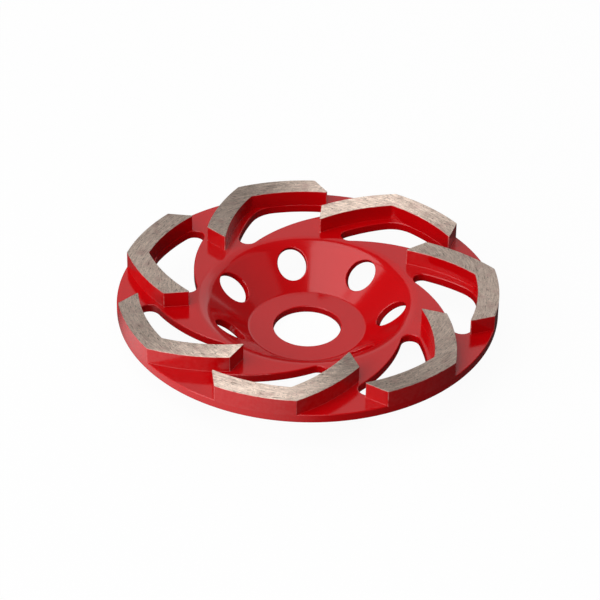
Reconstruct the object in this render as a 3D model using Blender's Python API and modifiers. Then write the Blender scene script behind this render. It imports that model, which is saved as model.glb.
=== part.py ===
"""A 125 mm diamond cup grinding wheel: a pressed steel cup with seven chevron segments brazed on its rim.

The wheel stands on the back of its hub, with the grinding side up. Z is the spindle axis, and Z = 0 is
the hub's back face. Sizes are in metres, written as millimetres times MM. Angles in the plan are taken
from +X, turning towards +Y.
"""

import math

import bmesh
import bpy
from mathutils import Matrix, Vector

MM = 0.001

# The pressed steel cup. The crest of its cone stands at a share of the rim's radius.
RIM_RADIUS = 62.5 * MM
BORE_RADIUS = 11.115 * MM
BORE_CHAMFER = 0.5 * MM
HUB_FLAT_RADIUS = 19.3 * MM
HUB_THICKNESS = 2.5 * MM
CUP_DEPTH = 11.1 * MM
CREST_SHARE = 0.54534
CONE_THICKNESS = 2.5 * MM
FLANGE_THICKNESS = 3.0 * MM
CREST_BEND_RADIUS = 5.0 * MM
HUB_BEND_RADIUS = 1.5 * MM
RIM_EDGE_RADIUS = 0.4 * MM

# The chevron segments, of two equal curved legs that meet at an elbow on the rim
SEGMENT_COUNT = 7
SEGMENT_HEIGHT = 5.5 * MM
SEGMENT_WIDTH = 7.0 * MM
ELBOW_ANGLE = math.radians(10.3)
LEG_FOLD = math.radians(33.3)
LEG_CREST_LAND = 4.47 * MM
LEG_END_SKEW = math.radians(39.1)
ELBOW_INNER_RADIUS = 1.5 * MM
SEGMENT_EDGE = 0.25 * MM
SEAT_GAP = 0.3 * MM

# The three-cornered slots inside the segments. The rounding at the elbow takes at most a share of the
# shorter wall beside it.
SLOT_RIM_LEDGE = 0.1 * MM
SLOT_LEG_LEDGE = 2.0 * MM
SLOT_LEDGE_FLARE = math.radians(3.9)
SLOT_CREST_LAND = 2.8 * MM
SLOT_INNER_EDGE_RADIUS = 50.7 * MM
SLOT_TIP_RADIUS = 3.0 * MM
SLOT_ELBOW_RADIUS = 10.0 * MM
SLOT_ELBOW_SHARE = 0.8
SLOT_RIM_END_RADIUS = 3.3 * MM
SLOT_PAST_SEGMENT = 0.5 * MM
SLOT_MOUTH = 0.3 * MM

# The dust holes in the cone wall, stretched up the slope when the cup was pressed. Half their length,
# and how far up they are, are shares of the slope.
HOLE_HALF_WIDTH = 4.7 * MM
HOLE_HALF_LENGTH_SHARE = 0.2975
HOLE_UP_SLOPE_SHARE = 0.5274
HOLE_ANGLE = math.radians(-1.5)

# How finely the round forms are divided
TURN_STEPS = 112
CREST_STEPS = 4
HUB_BEND_STEPS = 3
EDGE_STEPS = 2
CHAMFER_STEPS = 1
HOLE_STEPS = 22
ARC_TOLERANCE = 0.03 * MM
MERGE_DISTANCE = 0.001 * MM
CUTTER_REACH = 1.0 * MM

FLANGE_TOP = HUB_THICKNESS + CUP_DEPTH
FLANGE_BOTTOM = FLANGE_TOP - FLANGE_THICKNESS
CREST_RADIUS = CREST_SHARE * RIM_RADIUS
CONE_ANGLE = math.atan2(CUP_DEPTH, CREST_RADIUS - HUB_FLAT_RADIUS)
CONE_SLOPE = math.hypot(CUP_DEPTH, CREST_RADIUS - HUB_FLAT_RADIUS)
PITCH = 2 * math.pi / SEGMENT_COUNT
AXIS_CENTRE = Vector((0.0, 0.0))
NEARLY_UP = 0.9


def polar(radius, angle, centre=AXIS_CENTRE):
    """The plan point at this radius and angle from a centre."""
    return centre + Vector((radius * math.cos(angle), radius * math.sin(angle)))


def angle_from(centre, point):
    """The plan angle of a point, seen from a centre."""
    return math.atan2(point.y - centre.y, point.x - centre.x)


def arc(centre, radius, start, end, steps):
    """Points along an arc, with both of its ends."""
    return [polar(radius, start + (end - start) * i / steps, centre) for i in range(steps + 1)]


def short_turn(start, end):
    """The turn from one angle to another, the short way round."""
    return (end - start + math.pi) % (2 * math.pi) - math.pi


def circles_meet(centre_a, radius_a, centre_b, radius_b):
    """Where two circles cross, on the left of the way from centre a to centre b."""
    between = centre_b - centre_a
    along = (between.length_squared + radius_a**2 - radius_b**2) / (2 * between.length)
    off = math.sqrt(radius_a**2 - along**2)
    forward = between.normalized()
    return centre_a + along * forward + off * Vector((-forward.y, forward.x))


def line_meets_circle(point, angle, radius):
    """Where a plan line leaves the circle of this radius about the axis, going in the line's direction."""
    way = polar(1.0, angle)
    nearest = -point.dot(way)
    foot = point + nearest * way
    return foot + math.sqrt(radius**2 - foot.length_squared) * way


def reflected(point, through, angle):
    """The mirror image of a plan point in the line through a point at this angle."""
    offset = point - through
    way = polar(1.0, angle)
    return through + 2 * offset.dot(way) * way - offset


def rounded_profile(corners):
    """A closed profile from (radius, height, bend radius, steps) corners, with each corner made an arc."""
    points = []
    for index, (radius, height, bend, steps) in enumerate(corners):
        corner = Vector((radius, height))
        before = (Vector(corners[index - 1][:2]) - corner).normalized()
        after = (Vector(corners[(index + 1) % len(corners)][:2]) - corner).normalized()
        half = before.angle(after) / 2
        centre = corner + (before + after).normalized() * bend / math.sin(half)
        reach = bend / math.tan(half)
        start = angle_from(centre, corner + reach * before)
        turn = short_turn(start, angle_from(centre, corner + reach * after))
        points += arc(centre, bend, start, start + turn, steps)
    return points


def arc_steps(radius, turn):
    """How many straight steps keep an arc of this radius and turn within the tolerance."""
    return max(2, math.ceil(abs(turn) / (2 * math.acos(1 - ARC_TOLERANCE / radius))))


def material(name, colour, roughness, metallic):
    """A Principled material with a plain colour."""
    made = bpy.data.materials.new(name)
    made.use_nodes = True
    shader = made.node_tree.nodes["Principled BSDF"]
    shader.inputs["Base Color"].default_value = (*colour, 1.0)
    shader.inputs["Roughness"].default_value = roughness
    shader.inputs["Metallic"].default_value = metallic
    made.diffuse_color = (*colour, 1.0)
    return made


def new_object(name, mesh, collection):
    """An object that holds this mesh, in a collection."""
    made = bpy.data.objects.new(name, mesh)
    collection.objects.link(made)
    return made


def loft(name, rings, collection):
    """A closed solid through rings of equal length, with a flat cap on the first and on the last."""
    mesh = bpy.data.meshes.new(name)
    body = bmesh.new()
    rows = [[body.verts.new(point) for point in ring] for ring in rings]
    for lower, upper in zip(rows, rows[1:]):
        for i in range(len(lower)):
            j = (i + 1) % len(lower)
            body.faces.new((lower[i], lower[j], upper[j], upper[i]))
    body.faces.new(list(reversed(rows[0])))
    body.faces.new(rows[-1])
    bmesh.ops.recalc_face_normals(body, faces=body.faces)
    body.to_mesh(mesh)
    body.free()
    return new_object(name, mesh, collection)


def cut(target, cutter):
    """Cuts a hidden cutter out of a piece."""
    cutter.hide_render = True
    cutter.display_type = "WIRE"
    boolean = target.modifiers.new(cutter.name, "BOOLEAN")
    boolean.operation = "DIFFERENCE"
    boolean.solver = "EXACT"
    boolean.object = cutter


def cup_section():
    """The cup's closed section: down the rim, in under the flange, down the cone, up the bore and back out."""
    drop = CONE_THICKNESS / math.cos(CONE_ANGLE)
    rise = math.tan(CONE_ANGLE)
    under_hub = HUB_FLAT_RADIUS + (drop - HUB_THICKNESS) / rise
    under_flange = HUB_FLAT_RADIUS + (CUP_DEPTH + drop - FLANGE_THICKNESS) / rise
    return rounded_profile([
        (RIM_RADIUS, FLANGE_TOP, RIM_EDGE_RADIUS, EDGE_STEPS),
        (RIM_RADIUS, FLANGE_BOTTOM, RIM_EDGE_RADIUS, EDGE_STEPS),
        (under_flange, FLANGE_BOTTOM, CREST_BEND_RADIUS - CONE_THICKNESS, CREST_STEPS),
        (under_hub, 0.0, HUB_BEND_RADIUS + CONE_THICKNESS, HUB_BEND_STEPS + 1),
        (BORE_RADIUS, 0.0, BORE_CHAMFER, CHAMFER_STEPS),
        (BORE_RADIUS, HUB_THICKNESS, BORE_CHAMFER, CHAMFER_STEPS),
        (HUB_FLAT_RADIUS, HUB_THICKNESS, HUB_BEND_RADIUS, HUB_BEND_STEPS),
        (CREST_RADIUS, FLANGE_TOP, CREST_BEND_RADIUS, CREST_STEPS + 1),
    ])


def turned(name, section, collection):
    """A solid of revolution about Z from a closed section of (radius, height) points."""
    mesh = bpy.data.meshes.new(name)
    edges = [(i, (i + 1) % len(section)) for i in range(len(section))]
    mesh.from_pydata([(p.x, 0.0, p.y) for p in section], edges, [])
    made = new_object(name, mesh, collection)
    screw = made.modifiers.new("turn", "SCREW")
    screw.axis = "Z"
    screw.angle = 2 * math.pi
    screw.steps = TURN_STEPS
    screw.render_steps = TURN_STEPS
    screw.use_merge_vertices = True
    screw.merge_threshold = MERGE_DISTANCE
    screw.use_smooth_shade = True
    return made


def second_leg_centre():
    """The centre of the second leg's arcs: the axis, mirrored in the fold line at the elbow."""
    elbow = polar(RIM_RADIUS, ELBOW_ANGLE)
    return reflected(AXIS_CENTRE, elbow, ELBOW_ANGLE + LEG_FOLD / 2)


def rim_leg_inner_end():
    """The inner corner at the rim leg's end, which mirrors the second leg's corner beside the crest."""
    beside_crest = circles_meet(
        AXIS_CENTRE, CREST_RADIUS + LEG_CREST_LAND, second_leg_centre(), RIM_RADIUS - SEGMENT_WIDTH
    )
    return reflected(beside_crest, polar(RIM_RADIUS, ELBOW_ANGLE), ELBOW_ANGLE + LEG_FOLD / 2)


def segment_outline():
    """One chevron in plan: the leg on the rim, from elbow to end and back, then its mirror image."""
    inner_radius = RIM_RADIUS - SEGMENT_WIDTH
    elbow = polar(RIM_RADIUS, ELBOW_ANGLE)
    fold = ELBOW_ANGLE + LEG_FOLD / 2
    inner_end = rim_leg_inner_end()
    inner_end_angle = angle_from(AXIS_CENTRE, inner_end)
    outer_end = line_meets_circle(inner_end, inner_end_angle + LEG_END_SKEW, RIM_RADIUS)
    outer_end_angle = angle_from(AXIS_CENTRE, outer_end)
    fillet_centre = line_meets_circle(elbow, fold, inner_radius - ELBOW_INNER_RADIUS)
    fillet_start = angle_from(AXIS_CENTRE, fillet_centre)
    leg_steps = arc_steps(RIM_RADIUS, ELBOW_ANGLE - outer_end_angle)
    outer = arc(AXIS_CENTRE, RIM_RADIUS, ELBOW_ANGLE, outer_end_angle, leg_steps)
    inner = arc(AXIS_CENTRE, inner_radius, inner_end_angle, fillet_start, leg_steps)
    fillet = arc(fillet_centre, ELBOW_INNER_RADIUS, fillet_start, fold, 2)
    half = outer + inner + fillet[1:]
    return half + [reflected(point, elbow, fold) for point in reversed(half[1:-1])]


def segment_mesh(name):
    """A chevron as a mesh, extruded from its outline, with its edges slightly broken."""
    curve = bpy.data.curves.new(name, "CURVE")
    curve.dimensions = "2D"
    curve.fill_mode = "BOTH"
    curve.extrude = (SEGMENT_HEIGHT - SEAT_GAP) / 2 - SEGMENT_EDGE
    curve.bevel_depth = SEGMENT_EDGE
    curve.bevel_resolution = 0
    curve.offset = -SEGMENT_EDGE
    outline = segment_outline()
    spline = curve.splines.new("POLY")
    spline.points.add(len(outline) - 1)
    for place, point in zip(spline.points, outline):
        place.co = (point.x, point.y, 0.0, 1.0)
    spline.use_cyclic_u = True
    source = bpy.data.objects.new(name, curve)
    bpy.context.scene.collection.objects.link(source)
    bpy.context.view_layer.update()
    mesh = bpy.data.meshes.new_from_object(source.evaluated_get(bpy.context.evaluated_depsgraph_get()))
    bpy.data.objects.remove(source)
    bpy.data.curves.remove(curve)
    body = bmesh.new()
    body.from_mesh(mesh)
    bmesh.ops.remove_doubles(body, verts=body.verts, dist=MERGE_DISTANCE)
    body.to_mesh(mesh)
    body.free()
    mesh.name = name
    return mesh


def slot_elbow_radius(rim_edge, leg_edge, leg_edge_centre, at_rim_end, at_tip):
    """The slot's rounding at the elbow, which takes at most its share of the shorter wall beside it."""
    corner = circles_meet(AXIS_CENTRE, rim_edge, leg_edge_centre, leg_edge)
    from_axis = angle_from(AXIS_CENTRE, corner)
    from_leg_centre = angle_from(leg_edge_centre, corner)
    rim_wall = rim_edge * abs(short_turn(angle_from(AXIS_CENTRE, at_rim_end), from_axis))
    leg_wall = leg_edge * abs(short_turn(from_leg_centre, angle_from(leg_edge_centre, at_tip)))
    half_turn = abs(short_turn(from_axis, from_leg_centre)) / 2
    return min(SLOT_ELBOW_RADIUS, SLOT_ELBOW_SHARE * min(rim_wall, leg_wall) / math.tan(half_turn))


def slot_outline(grow):
    """One slot in plan, grown all round by a distance: three arcs joined by three rounded corners."""
    inner_radius = RIM_RADIUS - SEGMENT_WIDTH
    leg_centre = second_leg_centre()
    elbow = circles_meet(AXIS_CENTRE, inner_radius, leg_centre, inner_radius)
    rim_edge = inner_radius - SLOT_RIM_LEDGE
    leg_edge = inner_radius - SLOT_LEG_LEDGE
    leg_edge_centre = elbow + Matrix.Rotation(SLOT_LEDGE_FLARE, 2) @ (leg_centre - elbow)
    tip_distance = CREST_RADIUS + SLOT_CREST_LAND + SLOT_TIP_RADIUS
    at_tip = circles_meet(AXIS_CENTRE, tip_distance, leg_edge_centre, leg_edge - SLOT_TIP_RADIUS)
    rim_end_distance = rim_edge - SLOT_RIM_END_RADIUS
    rim_end_reach = math.asin(SLOT_RIM_END_RADIUS / rim_end_distance) - SLOT_PAST_SEGMENT / rim_edge
    at_rim_end = polar(rim_end_distance, angle_from(AXIS_CENTRE, rim_leg_inner_end()) + rim_end_reach)
    elbow_radius = slot_elbow_radius(rim_edge, leg_edge, leg_edge_centre, at_rim_end, at_tip)
    at_elbow = circles_meet(
        AXIS_CENTRE, rim_edge - elbow_radius, leg_edge_centre, leg_edge - elbow_radius
    )
    inner_centre = circles_meet(
        at_rim_end, SLOT_INNER_EDGE_RADIUS + SLOT_RIM_END_RADIUS,
        at_tip, SLOT_INNER_EDGE_RADIUS + SLOT_TIP_RADIUS,
    )
    corners = [
        (at_elbow, elbow_radius, AXIS_CENTRE, leg_edge_centre),
        (at_tip, SLOT_TIP_RADIUS, leg_edge_centre, None),
        (at_rim_end, SLOT_RIM_END_RADIUS, None, AXIS_CENTRE),
    ]
    rounded = []
    for centre, radius, arriving, leaving in corners:
        start = angle_from(arriving, centre) if arriving else angle_from(centre, inner_centre)
        end = angle_from(leaving, centre) if leaving else angle_from(centre, inner_centre)
        turn = (end - start) % (2 * math.pi)
        rounded.append(arc(centre, radius + grow, start, start + turn, arc_steps(radius, turn)))
    sides = [
        (leg_edge_centre, leg_edge, grow),
        (inner_centre, SLOT_INNER_EDGE_RADIUS, -grow),
        (AXIS_CENTRE, rim_edge, grow),
    ]
    points = []
    for i, (centre, radius, wider) in enumerate(sides):
        start = angle_from(centre, rounded[i][-1])
        turn = short_turn(start, angle_from(centre, rounded[(i + 1) % 3][0]))
        side = arc(centre, radius + wider, start, start + turn, arc_steps(radius, turn))
        points += rounded[i] + side[1:-1]
    return points


def slot_cutter(collection):
    """A cutter for one slot, which flares at the flange's two faces to break their edges."""
    flare = SLOT_MOUTH + CUTTER_REACH
    levels = [
        (FLANGE_BOTTOM - CUTTER_REACH, flare),
        (FLANGE_BOTTOM + SLOT_MOUTH, 0.0),
        (FLANGE_TOP - SLOT_MOUTH, 0.0),
        (FLANGE_TOP + CUTTER_REACH, flare),
    ]
    rings = [[(p.x, p.y, height) for p in slot_outline(grow)] for height, grow in levels]
    return loft("slot_cutter", rings, collection)


def hole_cutter(collection):
    """A cutter for one dust hole: an oval rod that stands square to the cone wall."""
    mesh = bpy.data.meshes.new("hole_cutter")
    rod = bmesh.new()
    bmesh.ops.create_cone(
        rod, cap_ends=True, segments=HOLE_STEPS, radius1=1.0, radius2=1.0,
        depth=2 * CONE_THICKNESS + 2 * CUTTER_REACH,
        matrix=Matrix.Diagonal((HOLE_HALF_LENGTH_SHARE * CONE_SLOPE, HOLE_HALF_WIDTH, 1.0, 1.0)),
    )
    rod.to_mesh(mesh)
    rod.free()
    radius = HUB_FLAT_RADIUS + HOLE_UP_SLOPE_SHARE * (CREST_RADIUS - HUB_FLAT_RADIUS)
    height = HUB_THICKNESS + HOLE_UP_SLOPE_SHARE * CUP_DEPTH
    tilt = Matrix.Translation((radius, 0.0, height)) @ Matrix.Rotation(-CONE_ANGLE, 4, "Y")
    mesh.transform(Matrix.Rotation(HOLE_ANGLE, 4, "Z") @ tilt)
    return new_object("hole_cutter", mesh, collection)


def repeated(first, collection):
    """One cutter made all round the wheel, as a single mesh of separate closed bodies."""
    ring = bmesh.new()
    for k in range(SEGMENT_COUNT):
        ring.from_mesh(first.data)
        fresh = ring.verts[-len(first.data.vertices):]
        bmesh.ops.rotate(ring, verts=fresh, cent=(0, 0, 0), matrix=Matrix.Rotation(PITCH * k, 3, "Z"))
    mesh = bpy.data.meshes.new(first.name + "s")
    ring.to_mesh(mesh)
    ring.free()
    bpy.data.objects.remove(first)
    return new_object(mesh.name, mesh, collection)


def make_cup(collection, cutters, lacquer):
    """The pressed cup: hub, cone and flange in one piece, with its slots and dust holes."""
    cup = turned("cup_body", cup_section(), collection)
    cup.data.materials.append(lacquer)
    cut(cup, repeated(slot_cutter(cutters), cutters))
    cut(cup, repeated(hole_cutter(cutters), cutters))
    return cup


def make_segments(collection, lacquer, bare_metal):
    """The chevrons, lacquered on their sides and ground bare on top, seated on the flange."""
    mesh = segment_mesh("segment")
    mesh.materials.append(lacquer)
    mesh.materials.append(bare_metal)
    for face in mesh.polygons:
        face.material_index = 1 if face.normal.z > NEARLY_UP else 0
    middle = FLANGE_TOP + (SEGMENT_HEIGHT + SEAT_GAP) / 2
    for k in range(SEGMENT_COUNT):
        segment = new_object(f"segment_{k + 1}", mesh, collection)
        segment.location = (0.0, 0.0, middle)
        segment.rotation_euler = (0.0, 0.0, PITCH * k)


def main():
    """Clears the scene and builds the wheel."""
    for old in list(bpy.data.objects):
        bpy.data.objects.remove(old)
    wheel = bpy.data.collections.new("diamond_cup_wheel")
    cutters = bpy.data.collections.new("cutters")
    for collection in (wheel, cutters):
        bpy.context.scene.collection.children.link(collection)
    lacquer = material("red_lacquer", (0.55, 0.008, 0.014), 0.22, 0.0)
    bare_metal = material("ground_segment_metal", (0.42, 0.38, 0.33), 0.45, 0.9)
    make_cup(wheel, cutters, lacquer)
    make_segments(wheel, lacquer, bare_metal)
    bpy.context.view_layer.update()


main()
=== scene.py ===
"""A 125 mm diamond cup grinding wheel, dressed and lit as a studio photograph.

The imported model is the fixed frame: metres, Z up the spindle axis, and Z = 0 at the hub's back face. The
pressed cup and its seven chevron segments are made again here with fine edges, lacquer and ground metal, and
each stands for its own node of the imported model.
"""

import logging
import math
from collections.abc import Sequence
from dataclasses import dataclass, field
from enum import Enum

import bpy
import numpy as np
from mathutils import Matrix, Vector
from mathutils.geometry import delaunay_2d_cdt


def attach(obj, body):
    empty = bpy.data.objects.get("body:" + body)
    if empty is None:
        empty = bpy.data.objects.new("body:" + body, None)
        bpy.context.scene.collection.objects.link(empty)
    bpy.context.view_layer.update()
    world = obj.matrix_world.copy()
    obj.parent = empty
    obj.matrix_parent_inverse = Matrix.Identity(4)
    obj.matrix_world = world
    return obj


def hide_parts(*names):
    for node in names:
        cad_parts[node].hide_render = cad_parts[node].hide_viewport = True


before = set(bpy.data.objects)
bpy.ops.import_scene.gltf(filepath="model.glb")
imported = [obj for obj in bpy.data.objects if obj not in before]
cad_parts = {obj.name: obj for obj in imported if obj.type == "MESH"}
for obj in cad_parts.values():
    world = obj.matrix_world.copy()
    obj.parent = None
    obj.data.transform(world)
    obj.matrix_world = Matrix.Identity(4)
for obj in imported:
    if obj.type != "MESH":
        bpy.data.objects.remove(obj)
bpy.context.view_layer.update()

MM = 0.001
BODY = "root"
AXIS = Vector((0.0, 0.0))
WHITE = (1.0, 1.0, 1.0, 1.0)
SAME_POINT = 1e-6  # metres within which two points of an outline, or of two sectors, are one
FILL_TOLERANCE = 1e-7  # metres within which the filling of an outline takes two points as one
LEAST_CROSS = 1e-13  # square metres of cross product below which a triangle is dropped
NORMAL_ATTRIBUTE = "finish_normal"
TOP_ATTRIBUTE = "ground_top"
GRIT_ATTRIBUTE = "diamond_grit"
# Marks the segments' pale edges: partly worn lacquer, partly a painted highlight.
WEAR_AND_HIGHLIGHT_ATTRIBUTE = "edge_wear_and_painted_highlight"

Colour = tuple[float, float, float]
Source = tuple[bpy.types.Node, int | str]
Value = bpy.types.Node | Source | float | str | Sequence[float]

log = logging.getLogger("cup_wheel")


class Slot(Enum):
    """The names of the material slots."""

    LACQUER = "red_lacquer"
    METAL = "segment_metal"


def polar(radius: float, angle: float, centre: Vector = AXIS) -> Vector:
    """The plan point at this radius and angle from a centre."""
    return centre + Vector((radius * math.cos(angle), radius * math.sin(angle)))


def angle_from(centre: Vector, point: Vector) -> float:
    """The plan angle of a point, seen from a centre."""
    return math.atan2(point.y - centre.y, point.x - centre.x)


def short_turn(start: float, end: float) -> float:
    """The turn from one angle to another, the short way round."""
    return (end - start + math.pi) % math.tau - math.pi


def left_of(way: Vector) -> Vector:
    """The plan direction square to a way, on its left."""
    return Vector((-way.y, way.x))


def circles_meet(centre_a: Vector, radius_a: float, centre_b: Vector, radius_b: float) -> Vector:
    """Where two circles cross, on the left of the way from centre a to centre b.

    Args:
        centre_a: Centre of the first circle.
        radius_a: Its radius.
        centre_b: Centre of the second circle.
        radius_b: Its radius.

    Returns:
        The crossing on the left.
    """
    between = centre_b - centre_a
    along = (between.length_squared + radius_a**2 - radius_b**2) / (2 * between.length)
    forward = between.normalized()
    return centre_a + along * forward + math.sqrt(radius_a**2 - along**2) * left_of(forward)


def line_meets_circle(point: Vector, angle: float, radius: float) -> Vector:
    """Where a plan line leaves the circle of this radius about the axis.

    Args:
        point: A point of the line.
        angle: The line's direction.
        radius: The circle's radius.

    Returns:
        The crossing ahead, in the line's direction.
    """
    way = polar(1.0, angle)
    foot = point - point.dot(way) * way
    return foot + math.sqrt(radius**2 - foot.length_squared) * way


def reflected(point: Vector, through: Vector, angle: float) -> Vector:
    """The mirror image of a plan point in a line.

    Args:
        point: The plan point, or a direction where the line goes through the axis.
        through: A point of the line.
        angle: The line's direction.

    Returns:
        The point on the other side of the line.
    """
    offset = point - through
    way = polar(1.0, angle)
    return through + 2 * offset.dot(way) * way - offset


@dataclass
class Outline:
    """A closed line in plan, with the direction that points out of it at each of its points."""

    spacing: float = MM
    points: list[Vector] = field(default_factory=list)
    outward: list[Vector] = field(default_factory=list)

    def add(self, point: Vector, outward: Vector) -> None:
        """Adds one point, unless the line already ends there.

        Args:
            point: The point.
            outward: The direction that points out of the line there, of any length.
        """
        if not self.points or (point - self.points[-1]).length > SAME_POINT:
            self.points.append(point)
            self.outward.append(outward.normalized())

    def add_arc(self, centre: Vector, radius: float, start: float, turn: float, side: float, fewest: int) -> None:
        """Adds an arc.

        Args:
            centre: The arc's centre.
            radius: Its radius.
            start: The angle where it starts.
            turn: How far it turns, anticlockwise if positive.
            side: 1 where out is away from the centre, and -1 where it is towards it.
            fewest: The fewest steps that it is divided into.
        """
        steps = max(fewest, math.ceil(abs(turn) * radius / self.spacing))
        for step in range(steps + 1):
            way = polar(1.0, start + turn * step / steps)
            self.add(centre + radius * way, side * way)

    def close(self) -> None:
        """Drops the last point where it repeats the first."""
        if (self.points[0] - self.points[-1]).length < SAME_POINT:
            self.points.pop()
            self.outward.pop()

    def grown(self, by: float) -> np.ndarray:
        """The line's points, moved out by a distance."""
        return np.array([point + by * way for point, way in zip(self.points, self.outward)])

    def ways(self) -> np.ndarray:
        """The outward directions as rows of x and y."""
        return np.array([tuple(way) for way in self.outward])

    def sharpness(self, full: float) -> np.ndarray:
        """How sharply the line turns at each point inside its arcs that bulge outwards.

        Args:
            full: The turn from one point to the next that counts as 1.

        Returns:
            A share from 0 to 1 for each point, which is 0 where either side of it is straight.
        """
        ways, points = self.ways(), self.grown(0.0)
        after = np.roll(ways, -1, axis=0)
        turn = np.arccos(np.clip((ways * after).sum(axis=1), -1.0, 1.0))
        bulging = ((after - ways) * (np.roll(points, -1, axis=0) - points)).sum(axis=1) > 0
        share = np.clip(turn / full, 0.0, 1.0) * bulging
        return np.minimum(share, np.roll(share, 1))


@dataclass
class Shell:
    """Vertices with the true normal at each, and how worn the finish is there, which also lays a painted edge
    highlight, and the triangles between.
    """

    points: list[np.ndarray] = field(default_factory=list)
    normals: list[np.ndarray] = field(default_factory=list)
    wear: list[np.ndarray] = field(default_factory=list)
    faces: list[np.ndarray] = field(default_factory=list)
    count: int = 0

    def add(self, points: np.ndarray, normals: np.ndarray, faces: np.ndarray, wear: np.ndarray | None = None) -> None:
        """Adds a sheet.

        Args:
            points: Rows of x, y and z.
            normals: The surface's direction at each point.
            faces: Triples of places in the sheet's own points, in either winding.
            wear: How worn the finish is at each point, from 0 to 1, which also lays a pale painted edge highlight; none
                where it is left out.
        """
        self.points.append(points)
        self.normals.append(normals / np.linalg.norm(normals, axis=1, keepdims=True))
        self.wear.append(np.zeros(len(points)) if wear is None else wear)
        self.faces.append(faces + self.count)
        self.count += len(points)

    def add_strips(
        self, rings: Sequence[np.ndarray], normals: Sequence[np.ndarray], closed: bool,
        wear: Sequence[np.ndarray] | None = None,
    ) -> None:
        """Adds a band of triangles from ring to ring.

        Args:
            rings: Rings of the same number of points.
            normals: The surface's direction at each point of each ring.
            closed: Whether each ring's last point joins its first.
            wear: How worn the finish is at each point of each ring, which also lays a pale painted edge highlight; none
                where it is left out.
        """
        size = len(rings[0])
        here = np.arange(size if closed else size - 1)
        after = (here + 1) % size
        faces = []
        for row in range(len(rings) - 1):
            low, high = row * size, (row + 1) * size
            faces.append(np.stack([here + low, after + low, after + high], axis=1))
            faces.append(np.stack([here + low, after + high, here + high], axis=1))
        self.add(np.concatenate(rings), np.concatenate(normals), np.concatenate(faces),
                 None if wear is None else np.concatenate(wear))

    def mesh(self, name: str) -> bpy.types.Mesh:
        """The shell as a mesh, wound to face along its normals.

        The true normals are kept in cylindrical parts, along the radius, along the turn and up, because those
        stay right when a copy is turned about the spindle.

        Args:
            name: The mesh's name.

        Returns:
            A mesh with the normals in a vertex attribute.
        """
        points, normals = np.concatenate(self.points), np.concatenate(self.normals)
        faces = np.concatenate(self.faces)
        corners = points[faces]
        facing = np.cross(corners[:, 1] - corners[:, 0], corners[:, 2] - corners[:, 0])
        real = np.linalg.norm(facing, axis=1) > LEAST_CROSS
        faces, facing = faces[real], facing[real]
        backward = np.einsum("ij,ij->i", facing, normals[faces].mean(axis=1)) < 0
        faces[backward] = faces[backward][:, ::-1]
        made = bpy.data.meshes.new(name)
        made.from_pydata(points.tolist(), [], faces.tolist())
        turn = np.arctan2(points[:, 1], points[:, 0])
        parts = np.stack([
            normals[:, 0] * np.cos(turn) + normals[:, 1] * np.sin(turn),
            normals[:, 1] * np.cos(turn) - normals[:, 0] * np.sin(turn),
            normals[:, 2],
        ], axis=1)
        stored = made.attributes.new(NORMAL_ATTRIBUTE, "FLOAT_VECTOR", "POINT")
        stored.data.foreach_set("vector", parts.ravel())
        worn_and_highlit = made.attributes.new(WEAR_AND_HIGHLIGHT_ATTRIBUTE, "FLOAT", "POINT")
        worn_and_highlit.data.foreach_set("value", np.concatenate(self.wear))
        return made


def triples(items: bpy.types.bpy_prop_collection, name: str) -> np.ndarray:
    """Reads a property that has three parts from each of a mesh's items.

    Args:
        items: The items.
        name: The property's name.

    Returns:
        A row of three numbers for each item.
    """
    flat = np.empty(len(items) * 3)
    items.foreach_get(name, flat)
    return flat.reshape(-1, 3)


def settle_normals(mesh: bpy.types.Mesh) -> None:
    """Turns the stored cylindrical normals into the mesh's own, and drops their attribute.

    Args:
        mesh: A mesh grown from a shell's.
    """
    points = triples(mesh.vertices, "co")
    parts = triples(mesh.attributes[NORMAL_ATTRIBUTE].data, "vector")
    turn = np.arctan2(points[:, 1], points[:, 0])
    normals = np.stack([
        parts[:, 0] * np.cos(turn) - parts[:, 1] * np.sin(turn),
        parts[:, 0] * np.sin(turn) + parts[:, 1] * np.cos(turn),
        parts[:, 2],
    ], axis=1)
    mesh.attributes.remove(mesh.attributes[NORMAL_ATTRIBUTE])
    mesh.normals_split_custom_set_from_vertices(normals.tolist())


def quarter(steps: int, up: float = 1.0) -> np.ndarray:
    """The angles of a quarter turn in equal steps, from 0 if up is positive and back to 0 if not."""
    turns = np.linspace(0.0, math.pi / 2, steps + 1)
    return turns if up > 0 else turns[::-1]


@dataclass(frozen=True)
class Bend:
    """A corner of a turned profile: where its two straights meet, and the radius that rounds it."""

    radius: float
    height: float
    rounding: float = 0.0


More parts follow.
